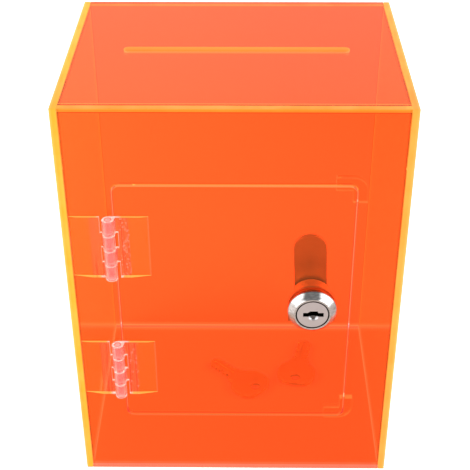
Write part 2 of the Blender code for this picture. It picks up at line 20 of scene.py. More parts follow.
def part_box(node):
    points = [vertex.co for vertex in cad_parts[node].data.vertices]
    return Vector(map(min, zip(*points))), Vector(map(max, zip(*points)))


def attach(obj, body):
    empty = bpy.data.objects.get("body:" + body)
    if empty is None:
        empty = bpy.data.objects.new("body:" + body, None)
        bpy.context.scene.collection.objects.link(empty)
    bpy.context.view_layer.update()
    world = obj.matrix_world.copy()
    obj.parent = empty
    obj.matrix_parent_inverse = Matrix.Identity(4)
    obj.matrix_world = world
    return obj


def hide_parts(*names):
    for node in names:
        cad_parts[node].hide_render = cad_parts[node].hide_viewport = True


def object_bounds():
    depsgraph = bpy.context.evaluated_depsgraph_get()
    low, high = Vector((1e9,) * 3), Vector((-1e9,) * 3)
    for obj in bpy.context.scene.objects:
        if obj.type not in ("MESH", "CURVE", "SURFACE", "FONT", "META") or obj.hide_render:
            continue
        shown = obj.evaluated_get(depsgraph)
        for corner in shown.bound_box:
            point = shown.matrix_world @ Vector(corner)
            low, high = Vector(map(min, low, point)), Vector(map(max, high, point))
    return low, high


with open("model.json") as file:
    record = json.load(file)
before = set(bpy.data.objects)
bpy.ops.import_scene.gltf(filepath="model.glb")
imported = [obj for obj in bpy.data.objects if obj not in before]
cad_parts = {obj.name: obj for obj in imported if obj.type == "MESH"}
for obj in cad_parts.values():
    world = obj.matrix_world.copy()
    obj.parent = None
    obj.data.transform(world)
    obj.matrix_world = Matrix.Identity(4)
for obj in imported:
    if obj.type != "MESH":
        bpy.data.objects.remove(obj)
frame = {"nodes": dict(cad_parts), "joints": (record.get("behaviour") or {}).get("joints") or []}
nodes = frame["nodes"]
joints = {joint["name"]: joint for joint in frame["joints"]}
cad_box = [list(corner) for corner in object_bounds()]
half_width, half_depth, height = cad_box[1]

# %% [markdown]
# The camera
#
# The photograph looks down on the front of the box, from a little right of its middle. A long
# lens keeps the upright edges nearly straight, and they still draw together towards the base.

# %% The camera
CAMERA_AT = (0.00503, -0.45966, 0.41122)
CAMERA_DOWN = math.radians(33.547)
CAMERA_TURN = math.radians(0.692)
CAMERA_ROLL = math.radians(-0.174)
LENS_MM = 82.02
SENSOR_MM = 36
NEAREST_SEEN = 0.01

camera_data = bpy.data.cameras.new("camera")
camera_data.lens = LENS_MM
camera_data.sensor_width = SENSOR_MM
camera_data.clip_start = NEAREST_SEEN
camera = bpy.data.objects.new("camera", camera_data)
bpy.context.scene.collection.objects.link(camera)
aim = Matrix.Rotation(CAMERA_TURN, 4, "Z") @ Matrix.Rotation(math.pi / 2 - CAMERA_DOWN, 4, "X")
aim = aim @ Matrix.Rotation(CAMERA_ROLL, 4, "Z")
camera.matrix_world = Matrix.Translation(CAMERA_AT) @ aim
bpy.context.scene.camera = camera
print("the camera stands", round(Vector(CAMERA_AT).length, 3), "m from the middle of the base")

# %% [markdown]
# Shader maths, written as sums
#
# A pattern is mostly arithmetic on a few sockets. Value wraps one socket, so that 1 - mask or
# noise * 0.2 + 0.5 adds the Math nodes that it needs. Graph holds a node tree, and its node method
# adds any other node: the settings first, and then the inputs by name. Finish is the graph of one
# new material.

# %% A socket that can be used in sums
class Value:
    """One shader socket. Sums on it add Math nodes to its tree."""

    def __init__(self, tree, socket):
        self.tree = tree
        self.socket = socket

    def maths(self, operation, first, second=None):
        node = self.tree.nodes.new("ShaderNodeMath")
        node.operation = operation
        for socket, value in zip(node.inputs, (first, second)):
            feed(self.tree, socket, value)
        return Value(self.tree, node.outputs[0])

    def __add__(self, other):
        return self.maths("ADD", self, other)

    def __sub__(self, other):
        return self.maths("SUBTRACT", self, other)

    def __rsub__(self, other):
        return self.maths("SUBTRACT", other, self)

    def __mul__(self, other):
        return self.maths("MULTIPLY", self, other)

    def __pow__(self, other):
        return self.maths("POWER", self, other)

    def __gt__(self, other):
        return self.maths("GREATER_THAN", self, other)

    def __lt__(self, other):
        return self.maths("LESS_THAN", self, other)

    def __abs__(self):
        return self.maths("ABSOLUTE", self)

    __radd__ = __add__
    __rmul__ = __mul__

    def sine(self):
        return self.maths("SINE", self)

    def most(self, other):
        """The larger of two values."""
        return self.maths("MAXIMUM", self, other)

    def ramp(self, low, high):
        """0 at low, 1 at high, and smooth between them."""
        node = self.tree.nodes.new("ShaderNodeMapRange")
        node.interpolation_type = "SMOOTHSTEP"
        feed(self.tree, node.inputs["Value"], self)
        node.inputs["From Min"].default_value = low
        node.inputs["From Max"].default_value = high
        return Value(self.tree, node.outputs[0])


def feed(tree, socket, value):
    """Puts a number, a colour or another socket into an input."""
    if value is None:
        return
    if isinstance(value, Value):
        tree.links.new(value.socket, socket)
    elif isinstance(value, tuple) and len(value) == 3 and socket.type == "RGBA":
        socket.default_value = (*value, 1)
    else:
        socket.default_value = value


# %% A node tree
class Graph:
    """A node tree, with one method that adds any node."""

    def __init__(self, tree, output):
        self.tree = tree
        self.tree.nodes.clear()
        self.output = self.tree.nodes.new("ShaderNode" + output)

    def node(self, kind, settings=None, inputs=None, out=0):
        """Adds a node, sets it up, feeds its inputs and returns one of its outputs."""
        node = self.tree.nodes.new("ShaderNode" + kind)
        for name, value in (settings or {}).items():
            setattr(node, name, value)
        for name, value in (inputs or {}).items():
            feed(self.tree, node.inputs[name], value)
        return Value(self.tree, node.outputs[out])

    def end(self, shader):
        self.tree.links.new(shader.socket, self.output.inputs["Surface"])

    def parts_of(self, vector):
        """The x, y and z of a vector, as three values."""
        split = self.node("SeparateXYZ", inputs={"Vector": vector}).socket.node
        return [Value(self.tree, socket) for socket in split.outputs]

    def noise(self, vector, scale, detail=2):
        inputs = {"Vector": vector, "Scale": scale, "Detail": detail}
        return self.node("TexNoise", inputs=inputs, out="Fac")

    def stretched(self, vector, scale):
        return self.node("Mapping", inputs={"Vector": vector, "Scale": scale})

    def mix(self, share, first, second):
        """A colour between two others."""
        inputs = {0: share, 6: first, 7: second}
        return self.node("Mix", {"data_type": "RGBA"}, inputs, out=2)

    def blend(self, share, first, second):
        """A shader between two others."""
        return self.node("MixShader", inputs={0: share, 1: first, 2: second})

    def principled(self, **inputs):
        """A Principled shader. A name's underscores stand for spaces."""
        return self.node("BsdfPrincipled", inputs={k.replace("_", " "): v for k, v in inputs.items()})

    def light_path(self, out):
        return self.node("LightPath", out=out)

    def mirrored(self):
        """1 for light that was reflected on its way, and 0 for light that only came through glass."""
        return self.light_path("Glossy Depth") > 0.5


# %% A material's tree
class Finish(Graph):
    """The graph of a new material."""

    def __init__(self, name):
        self.material = bpy.data.materials.new(name)
        self.material.use_nodes = True
        super().__init__(self.material.node_tree, "OutputMaterial")
        self.point = self.node("TexCoord", out="Object")
        self.x, self.y, self.z = self.parts_of(self.point)

    def outwards(self):
        """The way that the surface faces, as its x, y and z."""
        return self.parts_of(self.node("TexCoord", out="Normal"))

    def facing(self):
        """How squarely the surface faces along x, y and z, each from 0 to 1."""
        return [abs(part) for part in self.outwards()]

    def bump(self, height, distance):
        return self.node("Bump", inputs={"Height": height, "Distance": distance})

    def done(self, shader):
        self.end(shader)
        return self.material

    def done_clear(self, shader, shade):
        """Ends a see-through material. Its shadow only tints the light, and its glow isn't a lamp."""
        clear = self.node("BsdfTransparent", inputs={"Color": shade})
        self.material.cycles.emission_sampling = "NONE"
        return self.done(self.blend(self.light_path("Is Shadow Ray"), shader, clear))


# %% [markdown]
# The floor and the light
#
# The box was photographed on plain white, in light so soft that it casts no shadow that can be
# seen. A wide white floor does that, under a pale sky and two large soft lamps. The floor lies a
# hair below the base, because two faces in one place fight over which is seen.

# %% Floor
FLOOR_SIZE = 6.0
FLOOR_GAP = 0.0001
FLOOR_GRAIN = 40
bpy.ops.object.select_all(action="DESELECT")
bpy.ops.mesh.primitive_plane_add(size=FLOOR_SIZE, location=(0, 0, -FLOOR_GAP))
floor = bpy.context.object
floor.name = "floor"
white = Finish("white_floor")
grain = white.noise(white.point, FLOOR_GRAIN)
paper = white.principled(
    Base_Color=white.mix(grain, (0.94, 0.94, 0.94), (0.97, 0.97, 0.97)),
    Roughness=0.9,
    Emission_Color=(1.0, 1.0, 1.0),
    Emission_Strength=0.4,
)
print("the floor is", FLOOR_SIZE, "m across")

# %% [markdown]
# What the metal mirrors
#
# A polished bezel is a picture of its surroundings, and all white would leave it flat. So light
# that was reflected on its way sees another floor and another room. That floor is grey in front of
# the box, warm close to it with a painted spill of the box's orange light, and paler at the left,
# far out and behind. The room has a bright soft box at each side, a grey wall between them and a
# darker ceiling in front.

# %% The floor in a mirror
MIRRORED_RIGHT = (0.52, 0.44, 0.41)
MIRRORED_LEFT = (0.90, 0.80, 0.75)
MIRRORED_FRONT = (0.62, 0.53, 0.48)
MIRRORED_ORANGE_SPILL = (0.58, 0.42, 0.34)
MIRRORED_FAR = (0.95, 0.93, 0.90)
MIRRORED_BEHIND = (1.3, 1.3, 1.3)
ACROSS_FADE = (-0.25, 0.25)
FRONT_FADE = (-0.60, -0.30)
FRONT_SIDE_FADE = (0.06, 0.14)
ORANGE_SPILL_FADE = (-0.22, -0.12)
FAR_FADE = (0.3, 1.5)

mirrored = white.mix(1 - white.x.ramp(*ACROSS_FADE), MIRRORED_RIGHT, MIRRORED_LEFT)
in_front = white.y.ramp(*FRONT_FADE) * (1 - abs(white.x).ramp(*FRONT_SIDE_FADE))
mirrored = white.mix(in_front, mirrored, MIRRORED_FRONT)
# Painted spill of the box's orange light on the mirrored floor, close to the box
mirrored = white.mix(in_front * white.y.ramp(*ORANGE_SPILL_FADE), mirrored, MIRRORED_ORANGE_SPILL)
mirrored = white.mix(abs(white.x).ramp(*FAR_FADE), mirrored, MIRRORED_FAR)
mirrored = white.mix(white.y > half_depth, mirrored, MIRRORED_BEHIND)
seen_in_metal = white.node("Emission", inputs={"Color": mirrored})
floor.data.materials.append(white.done(white.blend(white.mirrored(), paper, seen_in_metal)))
print("its finish has", len(white.tree.nodes), "nodes")

# %% The room
SOFT_BOX = 1.1
WALL = 0.40
EVERYWHERE = 0.20
BACK_WALL_SHADE = 0.25
BOX_SIDE_FADE = (0.38, 0.62)
BOX_TOP_FADE = (0.70, 0.92)
BOX_FRONT_FADE = (-0.66, -0.58)
CEILING_FADE = (0.20, 0.35)
CEILING_BACK_FADE = (-0.2, 0.2)
BACK_WALL_FADE = (0.2, 0.6)

world = bpy.data.worlds.new("studio")
bpy.context.scene.world = world
world.use_nodes = True
room = Graph(world.node_tree, "OutputWorld")
across, back, up = room.parts_of(room.node("TexCoord", out="Generated"))
soft_boxes = abs(across).ramp(*BOX_SIDE_FADE) * (1 - up.ramp(*BOX_TOP_FADE)) * back.ramp(*BOX_FRONT_FADE)
ceiling = up.ramp(*CEILING_FADE) * (1 - soft_boxes) * (1 - back.ramp(*CEILING_BACK_FADE))
wall = WALL * (1 - ceiling) * (1 - BACK_WALL_SHADE * back.ramp(*BACK_WALL_FADE)) + EVERYWHERE
brightness = wall + soft_boxes * SOFT_BOX
lit = room.node("Background", inputs={"Color": (0.85, 0.86, 0.88), "Strength": 0.8})
seen = room.node("Background", inputs={"Color": (1.0, 0.99, 0.98), "Strength": brightness})
room.end(room.blend(room.mirrored(), lit, seen))
print("the room has", len(world.node_tree.nodes), "nodes")

# %% Lamps and light paths
LAMP_AT = (1.1, -0.5, 1.3)
LAMP_SIZE = 0.9
LAMP_POWER = 22
BOUNCES = 24


def soft_lamp(name, at):
    """A square lamp that points at the box. Metal doesn't mirror it, because the room is for that."""
    data = bpy.data.lights.new(name, "AREA")
    data.shape = "SQUARE"
    data.size = LAMP_SIZE
    data.energy = LAMP_POWER
    lamp = bpy.data.objects.new(name, data)
    bpy.context.scene.collection.objects.link(lamp)
    lamp.location = at
    lamp.rotation_euler = (-Vector(at)).to_track_quat("-Z", "Y").to_euler()
    lamp.visible_glossy = False


for side, name in ((-1, "left_lamp"), (1, "right_lamp")):
    soft_lamp(name, (side * LAMP_AT[0], LAMP_AT[1], LAMP_AT[2]))
scene = bpy.context.scene
scene.view_settings.view_transform = "Standard"
scene.cycles.max_bounces = BOUNCES
scene.cycles.transmission_bounces = BOUNCES
scene.cycles.transparent_max_bounces = BOUNCES
print("two lamps light the box, and light may pass", BOUNCES, "faces")

# %% [markdown]
# Fluorescent sheet
#
# Clear fluorescent acrylic takes in light over its whole face and leads it to its edges, which
# glow. So one material does three things: it tints what is seen through it, its faces shine a
# little by themselves, and its cut edges are bright and nearly opaque. A sheet's thickness runs
# along x, y or z, and a face that doesn't look that way is an edge. Each sheet has its own edge
# colour, because the long edges at the sides gather more light than the kerf round the door.

# %% The sheets: the axis of their thickness, the edges' glow and the glow of the saw's streaks
SHEET = 0.003
KERF_GLOW = (0.75, 0.27, 0.08)
SHEETS = {
    "left_panel": (0, (1.0, 0.42, 0.03), (1.0, 0.47, 0.06)),
    "right_panel": (0, (1.0, 0.33, 0.05), (1.0, 0.38, 0.07)),
    "front_panel": (1, (0.95, 0.32, 0.04), (1.0, 0.38, 0.07)),
    "back_panel": (1, (0.85, 0.10, 0.03), (0.90, 0.14, 0.05)),
    "top_panel": (2, (0.90, 0.24, 0.04), (1.0, 0.34, 0.08)),
    "bottom_panel": (2, (0.80, 0.14, 0.03), (0.90, 0.18, 0.05)),
    "door_panel": (1, KERF_GLOW, (0.70, 0.24, 0.09)),
    "upper_door_stop": (1, (0.60, 0.28, 0.17), (0.75, 0.36, 0.23)),
    "lower_door_stop": (1, (0.80, 0.40, 0.18), (0.95, 0.52, 0.26)),
}
DOOR_STOPS = ("upper_door_stop", "lower_door_stop")
print(len(SHEETS), "pieces of sheet, and", len(DOOR_STOPS), "of them stop the door")

# %% [markdown]
# What shows through the sheets
#
# The front and the back lie one behind the other, and the cut round the door is open. If both had
# the same tint, that cut would be a pale yellow line. So the sheets near the photograph's side are
# tinted less and the far ones more, and together they are the same orange. The tint is a little
# paler at the left, as in the photograph, and dark in the thin seams where two sheets are cemented.

# %% Tints
NEAR_SHEETS = ("front_panel", "door_panel", "top_panel", *DOOR_STOPS)
NEAR_TINTS = ((1.0, 0.36, 0.14), (1.0, 0.325, 0.13))
FAR_TINTS = ((1.0, 0.205, 0.09), (1.0, 0.18, 0.08))
STRENGTH_SHARES = {
    "top_panel": 0.84,
    "back_panel": 1.13,
    "bottom_panel": 0.86,
    "upper_door_stop": 0.12,
    "lower_door_stop": 0.12,
}
SIDE_SEAM = 0.0008
SIDE_SEAM_TINT = (0.28, 0.15, 0.05)
TOP_SEAM = 0.0010
TOP_SEAM_TINT = (0.12, 0.09, 0.04)


def deeper(colour, share):
    """The colour that light keeps after a share of a sheet's thickness."""
    return tuple(part**share for part in colour)


def tint_of(finish, name):
    """What a sheet does to the light that comes through it."""
    low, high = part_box(name)
    share = STRENGTH_SHARES.get(name, 1)
    left, right = NEAR_TINTS if name in NEAR_SHEETS else FAR_TINTS
    rightward = finish.x.ramp(-half_width, half_width)
    tint = finish.mix(rightward, deeper(left, share), deeper(right, share))
    if name in ("top_panel", "front_panel"):
        tint = finish.mix(abs(finish.x) > high.x - SIDE_SEAM, tint, SIDE_SEAM_TINT)
    if name == "top_panel":
        tint = finish.mix(finish.y < low.y + TOP_SEAM, tint, TOP_SEAM_TINT)
    return tint


both_tints = [round(near * far, 3) for near, far in zip(NEAR_TINTS[0], FAR_TINTS[0])]
print("a near and a far tint make", both_tints, "together at the left")

# %% [markdown]
# What the faces shine with
#
# A face hardly shines, except in the strips that another sheet is cemented to. The back has a
# crisp line just above the bottom sheet, and the bottom has a soft band in front of the back.

# %% Glow of the faces
FACE_GLOW = (0.09, 0.010, 0.0015)
INNER_GLOW = (0.20, 0.08, 0.010)
JOINT = 0.0016
JOINT_GLOW = (0.45, 0.15, 0.015)
BASE_GLOW = (0.20, 0.095, 0.085)
TOP_LINE = 0.0020
TOP_LINE_GLOW = (0.30, 0.13, 0.02)
BACK_LINE = 0.0011
BACK_LINE_GLOW = (0.42, 0.32, 0.34)
SEAM = 0.0004
SEAM_GLOW = (0.50, 0.46, 0.55)
SEAM_BAND = 0.0024
SEAM_BAND_GLOW = (0.20, 0.14, 0.20)


def face_light(finish, name, axis):
    """The glow of a sheet's faces. The two sides glow more on their inner faces than on the outer."""
    low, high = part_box(name)
    if name == "top_panel":
        line = (finish.y < low.y + TOP_LINE) * (finish.y > low.y + TOP_SEAM)
        return finish.mix(line, FACE_GLOW, TOP_LINE_GLOW)
    if name == "bottom_panel":
        light = finish.mix(finish.y > high.y - SEAM_BAND, FACE_GLOW, SEAM_BAND_GLOW)
        return finish.mix(abs(finish.x) > high.x - SEAM, light, SEAM_GLOW)
    light = FACE_GLOW
    if axis == 0:
        light = finish.mix(abs(finish.x) < half_width - SHEET / 2, light, INNER_GLOW)
        light = finish.mix(abs(finish.y) > half_depth - SHEET, light, JOINT_GLOW)
    light = finish.mix(finish.z > height - JOINT, light, JOINT_GLOW)
    if name == "back_panel":
        light = finish.mix(finish.z < SHEET + BACK_LINE, light, BACK_LINE_GLOW)
    return finish.mix(finish.z < SHEET, light, BASE_GLOW)


# %% [markdown]
# What the edges shine with
#
# An edge has faint streaks from the saw. The sides' long edges have a painted highlight along their outer
# rim.
# The slot is brightest at its upper edge, and the cut round the door glows less low down, deep
# inside and along its upright sides. Where the lock covers the hole that it sits in, and where the
# edges stand on the floor, the glow is turned down to painted shade.

# %% Glow of the slot, the stops and the cut round the door
SLOT_HIGH_GLOW = (1.0, 0.31, 0.075)
SLOT_LOW_GLOW = (0.90, 0.20, 0.03)
HIDDEN_BELOW = 0.0025
STOP_GLOW = (0.55, 0.15, 0.06)
STOP_FRONT = (0.0005, 0.0013)
STOP_FRONT_SHARE = 0.8
KERF_SHEETS = ("front_panel", "door_panel")
KERF_ENDS = (0.97, 1.01)
KERF_SIDE_END = 1.02
KERF_DEPTH = (0.0010, 0.0018)
KERF_LOW_GLOW = (0.55, 0.15, 0.045)
KERF_DEEP_GLOW = (0.22, 0.045, 0.015)
KERF_SIDE_GLOW = (0.35, 0.03, 0.025)
UPRIGHT_TURN = (0.5, 0.7)


def slot_light(finish, light):
    """The top's edges, with the slot's. The lower part of the front one is behind the front panel."""
    slot = finish.mix(finish.z.ramp(height - SHEET, height), SLOT_LOW_GLOW, SLOT_HIGH_GLOW)
    light = finish.mix(abs(finish.y) < half_depth / 2, light, slot)
    hidden = (finish.z < height - HIDDEN_BELOW) * (finish.y < -half_depth / 2)
    return finish.mix(hidden, light, FACE_GLOW)


def stop_light(finish, name, light):
    """A stop's edges: bright at its ends and along the front, and dull along the back."""
    low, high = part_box(name)
    if name == "upper_door_stop":
        ends = (finish.x < low.x + SEAM).most(finish.z < low.z + SEAM)
    else:
        ends = finish.z > high.z - SEAM
    front = 1 - finish.y.ramp(low.y + STOP_FRONT[0], low.y + STOP_FRONT[1])
    return finish.mix(ends.most(front * STOP_FRONT_SHARE), STOP_GLOW, light)


def kerf_light(finish, light):
    """The edges on both sides of the cut, found by shares of the places of the door's own edges."""
    low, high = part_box("door_panel")
    level = finish.mix(finish.z.ramp(low.z, high.z), KERF_LOW_GLOW, KERF_GLOW)
    deep = finish.y.ramp(low.y + KERF_DEPTH[0], low.y + KERF_DEPTH[1])
    level = finish.mix(deep, level, KERF_DEEP_GLOW)
    kerf = finish.mix(finish.facing()[0].ramp(*UPRIGHT_TURN), level, KERF_SIDE_GLOW)
    between = (finish.z > low.z * KERF_ENDS[0]) * (finish.z < high.z * KERF_ENDS[1])
    return finish.mix((abs(finish.x) < high.x * KERF_SIDE_END) * between, light, kerf)


# %% Glow of the edges
SAWN_SCALE = 90
SAWN_FADE = (0.3, 0.7)
RIM_IN = (0.0014, 0.0002)
RIM_SHARE = 0.3
RIM_HIGHLIGHT = (1.0, 0.72, 0.28)
LOCK_HOLE_SHADE = (0.06, 0.012, 0.001)
LOCK_HOLE_REACH = 0.0125
FOOT_SHADE = (0.10, 0.015, 0.012)
LOCK_AT = Vector(joints["lock_turn"]["pos_m"])


def from_axis(finish, right=0.0, below=0.0):
    """How far a point lies from the lock's axis, or from a line beside it."""
    dx = finish.x - (LOCK_AT.x + right)
    dz = finish.z - (LOCK_AT.z - below)
    return (dx * dx + dz * dz) ** 0.5


def edge_light(finish, name, glow, streak):
    """The glow of a sheet's edges."""
    sawn = finish.noise(finish.point, SAWN_SCALE, detail=3)
    light = finish.mix(sawn.ramp(*SAWN_FADE), glow, streak)
    if name in ("left_panel", "right_panel"):
        rim = abs(finish.x).ramp(half_width - RIM_IN[0], half_width - RIM_IN[1])
        # Painted highlight along the outer rim of the sides' long edges
        light = finish.mix(rim * RIM_SHARE, light, RIM_HIGHLIGHT)
    if name == "top_panel":
        light = slot_light(finish, light)
    if name in DOOR_STOPS:
        light = stop_light(finish, name, light)
    if name in KERF_SHEETS:
        light = kerf_light(finish, light)
    if name == "door_panel":
        # Painted shade on the edge of the lock's hole, which the bezel covers
        light = finish.mix(from_axis(finish) < LOCK_HOLE_REACH, light, LOCK_HOLE_SHADE)
    # Painted shade on the edges that stand on the floor
    return finish.mix(finish.z < SEAM, light, FOOT_SHADE)


# %% Acrylic
ACRYLIC_IOR = 1.49
WARM_MIRROR = (1.0, 0.97, 0.3)
PALE_MIRROR = (1.0, 1.0, 0.55)
EDGE_TURN = (0.75, 0.90)
EDGE_BODY = (0.20, 0.03, 0.005)
SHADOW_TINT = (1.0, 0.75, 0.6)


def acrylic(name, axis, glow, streak):
    """Sheet whose thickness runs along an axis, with its edges' colour and the colour of their streaks."""
    finish = Finish("acrylic_" + name)
    edge = 1 - finish.facing()[axis].ramp(*EDGE_TURN)
    light = finish.mix(edge, face_light(finish, name, axis), edge_light(finish, name, glow, streak))
    glass = finish.principled(
        Base_Color=finish.mix(edge, tint_of(finish, name), EDGE_BODY),
        Roughness=0.0,
        IOR=ACRYLIC_IOR,
        Specular_Tint=PALE_MIRROR if name == "top_panel" else WARM_MIRROR,
        Transmission_Weight=1.0,
        Emission_Color=light,
        Emission_Strength=1.0,
    )
    return finish.done_clear(glass, SHADOW_TINT)


def clad(material, *names):
    """Gives frame nodes a new material."""
    for name in names:
        data = nodes[name].data
        data.materials.clear()
        data.materials.append(material)


for name, (axis, glow, streak) in SHEETS.items():
    clad(acrylic(name, axis, glow, streak), name)
print(len(SHEETS), "sheets of acrylic are clad")

# %% [markdown]
# Tools for modelling by hand
#
# Every new piece starts as a primitive and is shaped in edit mode, as at a screen. An operator acts
# on all that is selected, so each tool first selects only what it should touch. A turned piece is a
# ring of edges that is extruded and scaled from point to point of its profile, like work on a lathe.

# %% Select, add, settle
def only(piece):
    """Back to object mode, with this piece alone selected."""
    if bpy.context.mode != "OBJECT":
        bpy.ops.object.mode_set(mode="OBJECT")
    bpy.ops.object.select_all(action="DESELECT")
    if piece:
        piece.select_set(True)
        bpy.context.view_layer.objects.active = piece


def add(kind, **settings):
    """Adds a primitive and returns it, alone selected."""
    only(None)
    getattr(bpy.ops.mesh, "primitive_" + kind + "_add")(**settings)
    return bpy.context.object


def settle(piece):
    """Puts the place, the turn and the scale of a piece into its mesh."""
    only(piece)
    bpy.ops.object.transform_apply(location=True, rotation=True, scale=True)
    return piece


def edit(piece):
    """Goes into edit mode on a piece, with all of it selected."""
    only(piece)
    bpy.ops.object.mode_set(mode="EDIT")
    bpy.ops.mesh.select_all(action="SELECT")


def pick(piece, wanted):
    """In edit mode, selects the vertices that pass a test."""
    bpy.ops.mesh.select_mode(type="VERT")
    bpy.ops.mesh.select_all(action="DESELECT")
    shape = bmesh.from_edit_mesh(piece.data)
    for vertex in shape.verts:
        if wanted(vertex):
            vertex.select_set(True)
    shape.select_flush_mode()
    bmesh.update_edit_mesh(piece.data)


# %% [markdown]
# The lathe
#
# Extruding edges leaves a mesh's elements in an order that changes from run to run, and a later
# cut then places a stray point here or there. So a turned piece is put in order of its places,
# measured along a slanted line on which hardly any two of them are level.

# %% Turn
WELD = 0.000001
ORDER_ALONG = Vector((1.0, 1.618, 2.718))


def in_order(piece):
    """In edit mode, puts a mesh's elements in order of their places."""
    shape = bmesh.from_edit_mesh(piece.data)
    shape.verts.sort(key=lambda vertex: vertex.co.dot(ORDER_ALONG))
    shape.edges.sort(key=lambda edge: (edge.verts[0].co + edge.verts[1].co).dot(ORDER_ALONG))
    shape.faces.sort(key=lambda face: face.calc_center_median().dot(ORDER_ALONG))
    bmesh.update_edit_mesh(piece.data)


def turned(centre, along, profile, steps=96, closed=False):
    """A lathe. Each point of the profile is a radius, and how far along the axis it lies."""
    centre, along = Vector(centre), Vector(along)
    radius, out = profile[0]
    piece = add(
        "circle",
        vertices=steps,
        radius=radius,
        fill_type="NOTHING" if closed else "NGON",
        rotation=along.to_track_quat("Z", "Y").to_euler(),
        location=centre + along * out,
    )
    edit(piece)
    bpy.ops.mesh.select_mode(type="EDGE")
    for next_radius, next_out in profile[1:]:
        bpy.ops.mesh.extrude_edges_move(TRANSFORM_OT_translate={"value": along * (next_out - out)})
        share = next_radius / radius
        bpy.ops.transform.resize(value=(share, share, share), center_override=centre + along * next_out)
        radius, out = next_radius, next_out
    if not closed:
        bpy.ops.mesh.edge_face_add()
    bpy.ops.mesh.select_all(action="SELECT")
    bpy.ops.mesh.remove_doubles(threshold=WELD)
    bpy.ops.mesh.normals_make_consistent(inside=False)
    in_order(piece)
    return settle(piece)


# %% Box, modify, carve, seat
def block(low, high):
    """A cube, scaled to reach from one corner to the other."""
    low, high = Vector(low), Vector(high)
    piece = add("cube", size=1, location=(low + high) / 2)
    bpy.ops.transform.resize(value=high - low)
    return settle(piece)


def modify(piece, kind, **settings):
    """Adds a modifier, sets it up and applies it."""
    only(piece)
    bpy.ops.object.modifier_add(type=kind)
    modifier = piece.modifiers[-1]
    for name, value in settings.items():
        setattr(modifier, name, value)
    bpy.ops.object.modifier_apply(modifier=modifier.name)


def carve(piece, tool, operation="DIFFERENCE"):
    """Cuts a piece with another, or joins the two, and takes the other away."""
    modify(piece, "BOOLEAN", object=tool, operation=operation)
    bpy.data.objects.remove(tool)


def soften(piece, width, segments=2):
    """Rounds the sharp edges."""
    sharp = math.radians(40)
    modify(piece, "BEVEL", width=width, segments=segments, limit_method="ANGLE", angle_limit=sharp)


def seat(piece, name, body, slot, material, *stands_for, sharp=30):
    """Names and smooths a piece, gives it its finish and makes it ride on its body."""
    only(piece)
    bpy.ops.object.shade_smooth_by_angle(angle=math.radians(sharp))
    piece.name = name
    piece.data.materials.clear()
    piece.data.materials.append(material)
    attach(piece, body)
    if stands_for:
        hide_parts(*stands_for)
    print(name, "has", len(piece.data.vertices), "vertices and rides on the", body)


# %% [markdown]
# The metals
#
# The lock is chrome outside and zinc plated behind, and its plug has a satin face with faint rings
# from the lathe. The keys are a dull, yellowish metal. All are full metals, and what tells them
# apart is how rough they are and how they vary: the chrome in fine rubbed streaks, the plating in
# soft clouds. The gap round the plug and the inside of the keyway are painted nearly black, because
# hardly any light comes out of them.

# %% Chrome
OUT = Vector((0, -1, 0))
low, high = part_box("lock_housing")
BEZEL_RADIUS = (high.x - low.x) / 2
BARREL_BEHIND = high.y - LOCK_AT.y
BEZEL_OUT = 0.0044
PLUG_BORE = 0.0079
GAP_RING = 0.00025
GAP_DEPTH = 0.0001
RIM_SHADE_BAND = 0.0002
BEHIND_FADE = (0.0005, SHEET)
REAR_SHADOW_BAND = 0.0010
NEARLY_BLACK = (0.012, 0.010, 0.010)


def chrome():
    """The lock body's metal: polished in front with painted shade on its outer rim, duller and yellowish
    behind, and painted shadow at its rear end.
    """
    finish = Finish("chrome")
    radius = from_axis(finish)
    gap = (radius < PLUG_BORE + GAP_RING) * (finish.y > LOCK_AT.y - BEZEL_OUT + GAP_DEPTH)
    behind = finish.y.ramp(LOCK_AT.y + BEHIND_FADE[0], LOCK_AT.y + BEHIND_FADE[1])
    rear_shadow = finish.y > LOCK_AT.y + BARREL_BEHIND - REAR_SHADOW_BAND
    cloud = finish.noise(finish.point, 160, detail=3)
    rubbed = finish.noise(finish.stretched(finish.point, (500, 500, 1600)), 1.0, detail=4)
    colour = finish.mix(rubbed.ramp(0.35, 0.65), (0.70, 0.69, 0.69), (0.95, 0.94, 0.93))
    # Painted shade on the bezel's outer rim, which dims its reflection of the glowing door
    colour = finish.mix(radius > BEZEL_RADIUS - RIM_SHADE_BAND, colour, (0.42, 0.42, 0.42))
    colour = finish.mix(behind, colour, (0.80, 0.66, 0.46))
    # Painted shadow on the barrel's last millimetre, next to the cam
    colour = finish.mix(rear_shadow, colour, (0.06, 0.05, 0.05))
    shader = finish.principled(
        Base_Color=finish.mix(gap, colour, NEARLY_BLACK),
        Metallic=1.0,
        Roughness=cloud * 0.08 + behind * 0.35 + 0.07,
        Normal=finish.bump(finish.noise(finish.point, 420, detail=5), 0.000022),
    )
    return finish.done(shader)


CHROME = chrome()
print("the bezel's radius is", round(BEZEL_RADIUS * 1000, 2), "mm")

# %% Satin
PLUG_RADIUS = 0.0076
FACE_OUT = 0.0043
KEYWAY_RIGHT = 0.0004
KEYWAY_REACH = 0.0055
SHADE_DEPTH = 0.00035
SHADE_RING = 0.00035
POCKET_BELOW = 0.00115
POCKET_FLOOR = 0.0013
LOBE_FADE = (0.0018, 0.0032)
DOT_RADIUS = 0.00042
DOT_ASIDE = 0.00112
DOT_BELOW = 0.00118
LATHE_RINGS = 14000


